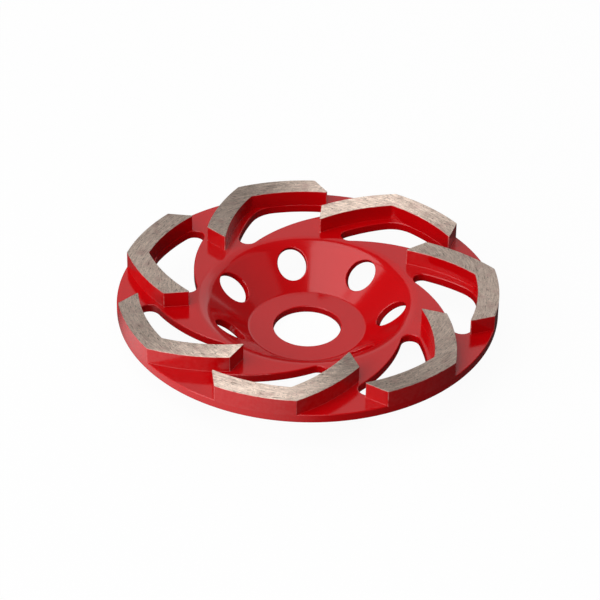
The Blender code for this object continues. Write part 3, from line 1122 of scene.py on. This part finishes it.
@dataclass
class ChevronSegment:
    """One sintered segment: lacquered sides that run down to the flange, and a ground top with diamond grit."""

    plan: WheelPlan
    top: float = 19.1 * MM
    foot_depth: float = 0.4 * MM
    bead: float = 0.14 * MM
    top_edge: float = 0.12 * MM
    # How far down from the top the pale edge band reaches, both its wear and its painted highlight.
    worn_and_highlit_reach: float = 0.30 * MM
    bead_fade: float = 0.6 * MM
    side_on: float = 0.5
    bead_foot: float = 0.02 * MM
    least_outward: float = 0.05
    sharp_turn: float = math.radians(15.0)
    bead_steps: int = 4
    edge_steps: int = 2
    outline_spacing: float = 0.9 * MM
    grid_step: float = 1.6 * MM
    grid_inset: float = 0.6 * MM
    least_top_tilt: float = 0.4
    first_seed: int = 40
    grit_density: float = 6.0e5
    grit_spacing: float = 0.7 * MM
    smallest_grit: float = 0.07 * MM
    largest_grit: float = 0.16 * MM

    def bead_share(self, outline: Outline) -> np.ndarray:
        """How much of the lacquer bead each point of the foot has: none on the rim and beside the slot.

        Args:
            outline: The chevron in plan.

        Returns:
            A share from 0 to 1 for each point.
        """
        points, ways = outline.grown(0.0), outline.ways()
        radius = np.hypot(points[:, 0], points[:, 1])
        along_radius = (points * ways).sum(axis=1) / radius
        on_rim = np.clip((self.plan.rim_radius - radius) / self.bead_fade, 0.0, 1.0)
        by_slot = np.clip((radius - self.plan.inner_radius) / self.bead_fade, 0.0, 1.0)
        free = np.where(along_radius > self.side_on, on_rim,
                        np.where(along_radius < -self.side_on, by_slot, 1.0))
        inside = np.clip((self.plan.inner_radius - radius) / self.bead_fade, 0.0, 1.0)
        return np.maximum(free, inside)

    def shell(self, outline: Outline) -> Shell:
        """The chevron's bead, sides and rounded top edge.

        Args:
            outline: The chevron in plan.

        Returns:
            The shell, open at the top and at the foot.
        """
        share = self.bead_share(outline)
        base, none = self.plan.flange_top, np.zeros(len(share))
        bare = np.maximum(1 - share, self.least_outward)
        rows = [
            (none, base - self.foot_depth, 1.0 + none, none),
            (self.bead * share, base - self.bead_foot, bare, share),
        ]
        for turn in quarter(self.bead_steps)[1:]:
            rows.append((self.bead * share * (1 - math.sin(turn)), base + self.bead * (1 - math.cos(turn)),
                         np.maximum(1 - share, math.sin(turn)), share * math.cos(turn)))
        rows.append((none, (base + self.top) / 2, 1.0 + none, none))
        rows.append((none, self.top - self.worn_and_highlit_reach, 1.0 + none, none))
        for turn in quarter(self.edge_steps):
            rows.append((none - self.top_edge * (1 - math.cos(turn)), self.top - self.top_edge * (1 - math.sin(turn)),
                         math.cos(turn) + none, math.sin(turn) + none))
        line, ways, corner = outline.grown(0.0), outline.ways(), outline.sharpness(self.sharp_turn)
        rings = [np.column_stack([line + ways * grow[:, None], np.full(len(line), height)])
                 for grow, height, _, _ in rows]
        normals = [np.column_stack([ways * out[:, None], up]) for _, _, out, up in rows]
        # The top band and the sharp upright edges get the pale edge colour, which is partly wear and partly a painted
        # highlight.
        wear = [np.maximum(corner, 1.0 if height > self.top - self.worn_and_highlit_reach / 2 else 0.0) for _, height, _, _ in rows]
        shell = Shell()
        shell.add_strips(rings, normals, True, wear)
        return shell

    def mesh(self) -> bpy.types.Mesh:
        """One closed chevron at the first place on the ring.

        Returns:
            Its mesh, with the faces of its top marked for the ground finish.
        """
        outline = self.plan.chevron(self.outline_spacing)
        shell = self.shell(outline)
        line = outline.grown(-self.top_edge)
        across, along = (np.arange(low, high, self.grid_step) for low, high in zip(line.min(axis=0), line.max(axis=0)))
        grid = np.stack(np.meshgrid(across, along), axis=-1).reshape(-1, 2)
        inner = grid[inside_line(grid, outline.grown(-self.grid_inset), 0.0)]
        foot = self.plan.flange_top - self.foot_depth
        for edge, within, height, up in ((line, inner, self.top, 1.0), (outline.grown(0.0), inner[:0], foot, -1.0)):
            spots, faces = filled(edge, within)
            normals = np.tile((0.0, 0.0, up), (len(spots), 1))
            shell.add(np.column_stack([spots, np.full(len(spots), height)]), normals, faces)
        made = shell.mesh("chevron")
        marks = made.attributes.new(TOP_ATTRIBUTE, "BOOLEAN", "FACE")
        tilts, heights = (triples(made.polygons, name)[:, 2] for name in ("normal", "center"))
        marks.data.foreach_set("value", (tilts > self.least_top_tilt) & (heights > self.top - self.top_edge))
        return made

    def build(self, number: int, tree: bpy.types.NodeTree, finishes: dict[str, bpy.types.Material]) -> bpy.types.Object:
        """Makes the segment of this number.

        Args:
            number: Its number, from 1, anticlockwise from the right.
            tree: The tree that turns it and sets its grit.
            finishes: The materials of its sides, top and grit, by the tree's input names.

        Returns:
            The finished piece, which stands for the node of the same number.
        """
        piece = grown_piece(f"chevron_{number}", self.mesh(), tree, {
            "Turn": self.plan.pitch * (number - 1),
            "Grit Density": self.grit_density,
            "Grit Spacing": self.grit_spacing,
            "Smallest": self.smallest_grit,
            "Largest": self.largest_grit,
            "Seed": self.first_seed + number,
            **finishes,
        })
        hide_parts(f"segment_{number}")
        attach(piece, BODY)
        return piece


def round_spindle_group() -> bpy.types.NodeTree:
    """The group that gives a place round the spindle, for marks that run round the wheel.

    Returns:
        A group with the inputs Round and Across, in waves to the turn and to the metre, and the output Place.
    """
    tree, given = new_group("place_round_spindle", "ShaderNodeTree", [("Round", "Float"), ("Across", "Float")],
                            [("Place", "Vector")])
    parts = tree.node("ShaderNodeSeparateXYZ", in_0=tree.here())
    flat = tree.node("ShaderNodeCombineXYZ", in_X=(parts, "X"), in_Y=(parts, "Y"))
    way = tree.vector("SCALE", tree.vector("NORMALIZE", flat), in_Scale=(given, "Round"))
    across = tree.maths("MULTIPLY", (tree.vector("LENGTH", flat), "Value"), (given, "Across"))
    place = tree.vector("ADD", way, tree.node("ShaderNodeCombineXYZ", in_Z=across))
    tree.node("NodeGroupOutput", in_Place=place)
    return tree.group


def speck_group() -> bpy.types.NodeTree:
    """The group that scatters small round specks, for dust nibs in lacquer and for pits in metal.

    Returns:
        A group with the inputs Scale, Share and Size, and the output Mask, which is 1 inside a speck.
    """
    tree, given = new_group("scattered_specks", "ShaderNodeTree", [
        ("Scale", "Float"), ("Share", "Float"), ("Size", "Float")], [("Mask", "Float")])
    cells = tree.node("ShaderNodeTexVoronoi", feature="F1", in_Vector=tree.here(), in_Scale=(given, "Scale"))
    shade = tree.node("ShaderNodeSeparateColor", in_0=(cells, "Color"))
    chosen = tree.maths("LESS_THAN", shade, (given, "Share"))
    edge = tree.span((cells, "Distance"), 0.0, (given, "Size"), smooth=True)
    mask = tree.maths("MULTIPLY", tree.maths("SUBTRACT", 1.0, edge), chosen)
    tree.node("NodeGroupOutput", in_Mask=mask)
    return tree.group


@dataclass(frozen=True)
class Streaks:
    """Marks that run round the wheel: their waves to the turn and to the metre, and their finer layers."""

    around: float
    across: float
    detail: float
    roughness: float = 0.6


@dataclass(frozen=True)
class Specks:
    """Small round marks: their cells to the metre, the share of cells that hold one, and their size in a cell."""

    scale: float
    share: float
    size: float


@dataclass(frozen=True)
class FinishKit:
    """The shader groups that the finishes share."""

    round_spindle: bpy.types.NodeTree = field(default_factory=round_spindle_group)
    speckled: bpy.types.NodeTree = field(default_factory=speck_group)

    def streaks(self, tree: Tree, marks: Streaks) -> bpy.types.Node:
        """Places a noise that is drawn out round the wheel.

        Args:
            tree: The material's tree.
            marks: How it is drawn out.

        Returns:
            The noise.
        """
        place = tree.node("ShaderNodeGroup", node_tree=self.round_spindle, in_Round=marks.around,
                          in_Across=marks.across)
        return tree.noise(place, Waves(1.0, marks.detail, marks.roughness))

    def specks(self, tree: Tree, marks: Specks) -> bpy.types.Node:
        """Places the mask of specks like these."""
        return tree.node("ShaderNodeGroup", node_tree=self.speckled, in_Scale=marks.scale, in_Share=marks.share,
                         in_Size=marks.size)


def fresh_material(name: str, colour: Colour) -> tuple[bpy.types.Material, Tree, bpy.types.Node]:
    """Makes a node material.

    Args:
        name: Its name.
        colour: Its plain colour, outside renders.

    Returns:
        The material, its tree and its Principled shader.
    """
    made = bpy.data.materials.new(name)
    made.use_nodes = True
    made.diffuse_color = (*colour, 1.0)
    return made, Tree(made.node_tree), made.node_tree.nodes["Principled BSDF"]


@dataclass(frozen=True)
class RedLacquer:
    """Glossy red lacquer: a deep clear red with the faint ripple and dust nibs of a sprayed coat."""

    name: str = "red_lacquer_finish"
    deep: Colour = (0.49, 0.0003, 0.0012)
    bright: Colour = (0.57, 0.0007, 0.0035)
    clouds: Waves = Waves(55.0, 3.0, 0.6)
    cloud_span: tuple[float, float] = (0.35, 0.7)
    roughness: tuple[float, float] = (0.10, 0.15)
    ripples: Waves = Waves(420.0, 1.5, 0.45)
    nibs: Specks = Specks(330.0, 0.035, 0.07)
    nib_height: float = 2.5
    relief_depth: float = 0.0016 * MM
    refraction: float = 1.5

    def colour(self, tree: Tree, cloud: bpy.types.Node) -> Source:
        """The coat's colour, in soft clouds."""
        return tree.mix(cloud, self.deep, self.bright)

    def ripple(self, tree: Tree) -> bpy.types.Node:
        """Places the ripple of the coat's height."""
        return tree.noise(tree.here(), self.ripples)

    def material(self, kit: FinishKit) -> bpy.types.Material:
        """Builds the finish.

        Args:
            kit: The shared groups.

        Returns:
            The material.
        """
        made, tree, shader = fresh_material(self.name, self.bright)
        cloud = tree.noise(tree.here(), self.clouds)
        height = tree.maths("MULTIPLY_ADD", kit.specks(tree, self.nibs), self.nib_height, self.ripple(tree))
        tree.feed_all(shader, {
            "Base Color": self.colour(tree, cloud),
            "Roughness": tree.span(cloud, *self.cloud_span, *self.roughness),
            "Normal": tree.bump(height, self.relief_depth),
            "IOR": self.refraction,
        })
        return made


@dataclass(frozen=True)
class SegmentLacquer(RedLacquer):
    """The same lacquer over the rough sides of a sintered segment, paled along its edges, partly as wear and partly as
    a painted edge highlight.
    """

    name: str = "segment_lacquer_finish"
    roughness: tuple[float, float] = (0.12, 0.19)
    ripples: Waves = Waves(1.0, 2.0, 0.55)
    squeeze: tuple[float, float, float] = (420.0, 420.0, 90.0)
    nibs: Specks = Specks(700.0, 0.2, 0.25)
    nib_height: float = 0.4
    relief_depth: float = 0.016 * MM
    # Pale edge colour: partly real wear, partly a painted edge highlight.
    worn_and_highlit: Colour = (0.66, 0.18, 0.17)
    worn_and_highlit_patches: Waves = Waves(700.0, 3.0)
    worn_and_highlit_span: tuple[float, float] = (0.30, 0.62)

    def colour(self, tree: Tree, cloud: bpy.types.Node) -> Source:
        """The coat's colour, mixed in patches with a paler one along the edges, which is partly wear and partly a
        painted highlight.

        Args:
            tree: The material's tree.
            cloud: The noise that the coat's own colour follows.

        Returns:
            The node and the output that give it.
        """
        # The pale edge mix is partly wear and partly a painted highlight.
        edge = tree.node("ShaderNodeAttribute", attribute_name=WEAR_AND_HIGHLIGHT_ATTRIBUTE)
        patches = tree.span(tree.noise(tree.here(), self.worn_and_highlit_patches), *self.worn_and_highlit_span)
        share = tree.maths("MULTIPLY", (edge, "Fac"), patches, clamp=True)
        return tree.mix(share, super().colour(tree, cloud), self.worn_and_highlit)

    def ripple(self, tree: Tree) -> bpy.types.Node:
        """Places the flutes that run up the sides, left by the mould."""
        return tree.noise(tree.vector("MULTIPLY", tree.here(), self.squeeze), self.ripples)


@dataclass(frozen=True)
class GroundMetal:
    """Sintered metal ground flat: fine scratches round the wheel, dark dashes and pits, and traces of lacquer."""

    dark: Colour = (0.515, 0.400, 0.335)
    pale: Colour = (0.965, 0.805, 0.695)
    scratches: Streaks = Streaks(20.0, 2300.0, 3.0)
    bands: Streaks = Streaks(7.0, 800.0, 2.0)
    grain: Waves = Waves(1500.0, 2.0, 0.7)
    scratch_share: float = 0.5
    finer_share: float = 0.25
    shade_span: tuple[float, float] = (0.39, 0.615)
    tinge: Colour = (0.56, 0.36, 0.32)
    tinge_patches: Waves = Waves(260.0, 2.0)
    tinge_span: tuple[float, float] = (0.52, 0.72)
    tinge_share: float = 0.55
    pit: Colour = (0.13, 0.10, 0.08)
    pits: Specks = Specks(520.0, 0.07, 0.24)
    dashes: Streaks = Streaks(24.0, 2000.0, 1.0)
    dash_span: tuple[float, float] = (0.36, 0.27)
    dash_share: float = 0.8
    roughness: tuple[float, float] = (0.44, 0.56)
    anisotropy: float = 0.91
    mark_depth: float = 0.006 * MM

    def material(self, kit: FinishKit) -> bpy.types.Material:
        """Builds the finish, whose highlight is drawn out along the scratches.

        Args:
            kit: The shared groups.

        Returns:
            The material.
        """
        made, tree, shader = fresh_material("ground_segment_finish", self.pale)
        shade = tree.maths("MULTIPLY", kit.streaks(tree, self.scratches), self.scratch_share)
        for finer in (kit.streaks(tree, self.bands), tree.noise(tree.here(), self.grain)):
            shade = tree.maths("MULTIPLY_ADD", finer, self.finer_share, shade)
        spread = tree.span(shade, *self.shade_span)
        stained = tree.span(tree.noise(tree.here(), self.tinge_patches), *self.tinge_span, 0.0, self.tinge_share)
        dashed = tree.span(kit.streaks(tree, self.dashes), *self.dash_span, 0.0, self.dash_share)
        deep = tree.maths("MAXIMUM", dashed, kit.specks(tree, self.pits))
        colour = tree.mix(spread, self.dark, self.pale)
        for mask, tint in ((stained, self.tinge), (deep, self.pit)):
            colour = tree.mix(mask, colour, tint)
        tree.feed_all(shader, {
            "Base Color": colour,
            "Roughness": tree.span(spread, 0.0, 1.0, *self.roughness),
            "Normal": tree.bump(tree.maths("SUBTRACT", shade, deep), self.mark_depth),
            "Tangent": tree.vector("MULTIPLY", tree.here(), (1.0, 1.0, 0.0)),
            "Anisotropic": self.anisotropy,
            "Metallic": 1.0,
        })
        return made


@dataclass(frozen=True)
class DiamondGrit:
    """Small dull crystals that stand in the ground metal."""

    dark: Colour = (0.24, 0.21, 0.15)
    pale: Colour = (0.42, 0.38, 0.28)
    facets: Specks = Specks(900.0, 0.5, 0.6)
    roughness: float = 0.28
    refraction: float = 1.9

    def material(self, kit: FinishKit) -> bpy.types.Material:
        """Builds the finish.

        Args:
            kit: The shared groups.

        Returns:
            The material.
        """
        made, tree, shader = fresh_material("diamond_grit_finish", self.dark)
        tree.feed_all(shader, {
            "Base Color": tree.mix(kit.specks(tree, self.facets), self.dark, self.pale),
            "Roughness": self.roughness,
            "IOR": self.refraction,
        })
        return made


@dataclass(frozen=True)
class Lamp:
    """One soft lamp: where it stands, what it faces, how wide it is and how much light it gives."""

    name: str
    place: tuple[float, float, float]
    size: tuple[float, float]
    power: float
    aim: tuple[float, float, float] = (0.0, 0.0, 0.01)

    def build(self) -> None:
        """Makes the lamp, which the camera doesn't see."""
        light = bpy.data.lights.new(self.name, "AREA")
        light.shape = "RECTANGLE"
        light.size, light.size_y = self.size
        light.energy = self.power
        made = bpy.data.objects.new(self.name, light)
        made.location = self.place
        made.rotation_mode = "QUATERNION"
        made.rotation_quaternion = (Vector(self.aim) - Vector(self.place)).to_track_quat("-Z", "Y")
        made.visible_camera = False
        bpy.context.scene.collection.objects.link(made)


@dataclass
class Studio:
    """The pale floor, the soft lamps, the white surround and the camera at the photograph's angle."""

    floor_half: float = 6.0
    floor_drop: float = 0.1 * MM
    floor_roughness: float = 0.9
    floor_pale: float = 0.92
    # Painted shade: the floor's colour near the wheel and to the right, as reflections and bounced light see it.
    floor_painted_shade: float = 0.08
    floor_white_share: float = 0.95
    # Where the painted shadow round the wheel fades out, and the way and spread of the floor's painted light.
    shade_edge: tuple[float, float] = (60.0 * MM, 80.0 * MM)
    painted_light_way: tuple[float, float, float] = (-0.707, -0.707, 0.0)
    painted_light_edge: tuple[float, float] = (0.58, 0.98)
    lamps: tuple[Lamp, ...] = (
        Lamp("overhead_softbox", (-0.58, -0.05, 1.50), (1.10, 1.30), 9.3, (-0.58, -0.05, 0.0)),
        Lamp("left_softbox", (-1.73, -0.25, 1.02), (1.6, 1.6), 12.5),
        Lamp("left_front_softbox", (-1.30, -1.55, 0.88), (2.2, 1.6), 31.0),
        Lamp("front_softbox", (0.0, -1.11, 1.42), (0.8, 0.6), 6.0),
        Lamp("right_panel", (1.14, 0.20, 1.38), (1.1, 0.9), 0.9),
        Lamp("back_panel", (0.34, 2.0, 1.50), (2.8, 1.9), 9.8),
        Lamp("back_right_panel", (0.66, 1.72, 1.02), (0.85, 1.0), 1.05),
    )
    surround: float = 0.05
    surround_in_gloss: float = 0.05
    camera_rise: float = 35.149
    camera_roll: float = -1.1143
    camera_distance: float = 915.37 * MM
    aim_height: float = 19.1 * MM
    focal_pixels: float = 2801.37
    frame_pixels: float = 600.0
    aim_shift: tuple[float, float] = (7.955, -15.354)
    sensor: float = 36.0
    clip: tuple[float, float] = (0.01, 50.0)

    def build(self) -> None:
        """Makes everything round the wheel."""
        self.floor()
        for lamp in self.lamps:
            lamp.build()
        self.world()
        self.camera()
        bpy.context.scene.view_settings.view_transform = "Standard"

    def background_mask(self, tree: Tree, in_gloss: Value) -> bpy.types.Node:
        """Places the share of the background that a ray sees: all from the camera and through glass.

        Args:
            tree: The material's or the world's tree.
            in_gloss: The share that a reflection sees, as a node or a number.

        Returns:
            The node whose output is the share, from 0 to 1.
        """
        path = tree.node("ShaderNodeLightPath")
        straight = tree.maths("ADD", (path, "Is Camera Ray"), (path, "Is Transmission Ray"), clamp=True)
        return tree.maths("MULTIPLY_ADD", (path, "Is Glossy Ray"), in_gloss, straight, clamp=True)

    def painted_light_side(self, tree: Tree) -> bpy.types.Node:
        """Places the mask of the floor's painted light, to the left of the camera and clear of the painted shadow round
        the wheel.

        Args:
            tree: The floor material's tree.

        Returns:
            The node whose output is the mask, from 0 to 1.
        """
        along = tree.vector("DOT_PRODUCT", tree.vector("NORMALIZE", tree.here()), self.painted_light_way)
        sideways = tree.span((along, "Value"), *self.painted_light_edge, smooth=True)
        clear = tree.span((tree.vector("LENGTH", tree.here()), "Value"), *self.shade_edge, smooth=True)
        return tree.maths("MULTIPLY", sideways, clear)

    def floor(self) -> None:
        """Makes the pale floor, which keeps a faint shadow of the wheel; to reflections and bounced light its colour is
        painted shade near the wheel and to the right, and on the left it is painted light that glows white in
        reflections.
        """
        half = self.floor_half
        mesh = bpy.data.meshes.new("studio_floor")
        mesh.from_pydata([(-half, -half, 0.0), (half, -half, 0.0), (half, half, 0.0), (-half, half, 0.0)],
                         [], [(0, 1, 2, 3)])
        made = bpy.data.objects.new("studio_floor", mesh)
        made.location = (0.0, 0.0, -self.floor_drop)
        bpy.context.scene.collection.objects.link(made)
        dark, pale = (self.floor_painted_shade,) * 3, (self.floor_pale,) * 3
        finish, tree, shader = fresh_material("studio_floor_finish", pale)
        # The floor's colour is painted: pale where it is painted light, dark where it is painted shade; the camera sees
        # it pale.
        bright = self.painted_light_side(tree)
        seen = self.background_mask(tree, bright)
        tree.feed_all(shader, {
            "Base Color": tree.mix(tree.maths("MAXIMUM", bright, seen), dark, pale),
            "Roughness": self.floor_roughness,
            "Specular IOR Level": 0.0,
        })
        white = tree.node("ShaderNodeEmission", in_Color=WHITE, in_Strength=1.0)
        share = tree.maths("MULTIPLY", seen, self.floor_white_share)
        surface = tree.node("ShaderNodeMixShader", in_0=share, in_1=shader, in_2=white)
        tree.feed(tree.group.nodes["Material Output"], "Surface", surface)
        mesh.materials.append(finish)

    def world(self) -> None:
        """Makes the white surround, which lights the wheel less than it shows."""
        world = bpy.data.worlds.new("studio_surround")
        world.use_nodes = True
        bpy.context.scene.world = world
        tree = Tree(world.node_tree)
        seen = self.background_mask(tree, self.surround_in_gloss)
        tree.feed_all(world.node_tree.nodes["Background"], {
            "Color": WHITE,
            "Strength": tree.span(seen, 0.0, 1.0, self.surround, 1.0),
        })

    def camera(self) -> None:
        """Makes the camera, turned as the photograph's perspective was solved."""
        rise, roll = math.radians(self.camera_rise), math.radians(self.camera_roll)
        right = Vector((1.0, 0.0, 0.0))
        up = Vector((0.0, math.sin(rise), math.cos(rise)))
        ahead = Vector((0.0, math.cos(rise), -math.sin(rise)))
        place = Vector((0.0, 0.0, self.aim_height)) - self.camera_distance * ahead
        right, up = math.cos(roll) * right - math.sin(roll) * up, math.sin(roll) * right + math.cos(roll) * up
        across = math.atan2(self.aim_shift[0], self.focal_pixels)
        lift = math.atan2(-self.aim_shift[1], self.focal_pixels)
        right, ahead = math.cos(across) * right + math.sin(across) * ahead, (
            math.cos(across) * ahead - math.sin(across) * right)
        up, ahead = math.cos(lift) * up + math.sin(lift) * ahead, math.cos(lift) * ahead - math.sin(lift) * up
        data = bpy.data.cameras.new("photo_camera")
        data.sensor_width = self.sensor
        data.lens = self.focal_pixels * self.sensor / self.frame_pixels
        data.clip_start, data.clip_end = self.clip
        made = bpy.data.objects.new("photo_camera", data)
        turned = Matrix((right, up, -ahead)).transposed().to_4x4()
        made.matrix_world = Matrix.Translation(place) @ turned
        bpy.context.scene.collection.objects.link(made)
        bpy.context.scene.camera = made


def main() -> None:
    """Builds the wheel and its studio."""
    logging.basicConfig(level=logging.INFO, format="%(name)s: %(message)s")
    plan, kit = WheelPlan(), FinishKit()
    lacquer = RedLacquer().material(kit)
    finishes = {
        "Side Finish": SegmentLacquer().material(kit),
        "Top Finish": GroundMetal().material(kit),
        "Grit Finish": DiamondGrit().material(kit),
    }
    cup = CupBody(plan).build(lacquer)
    log.info("%s: %d faces", cup.name, len(cup.data.polygons))
    tree = chevron_tree()
    for number in range(1, plan.copies + 1):
        segment = ChevronSegment(plan).build(number, tree, finishes)
        log.info("%s: %d faces", segment.name, len(segment.data.polygons))
    Studio().build()


if __name__ == "__main__":
    main()
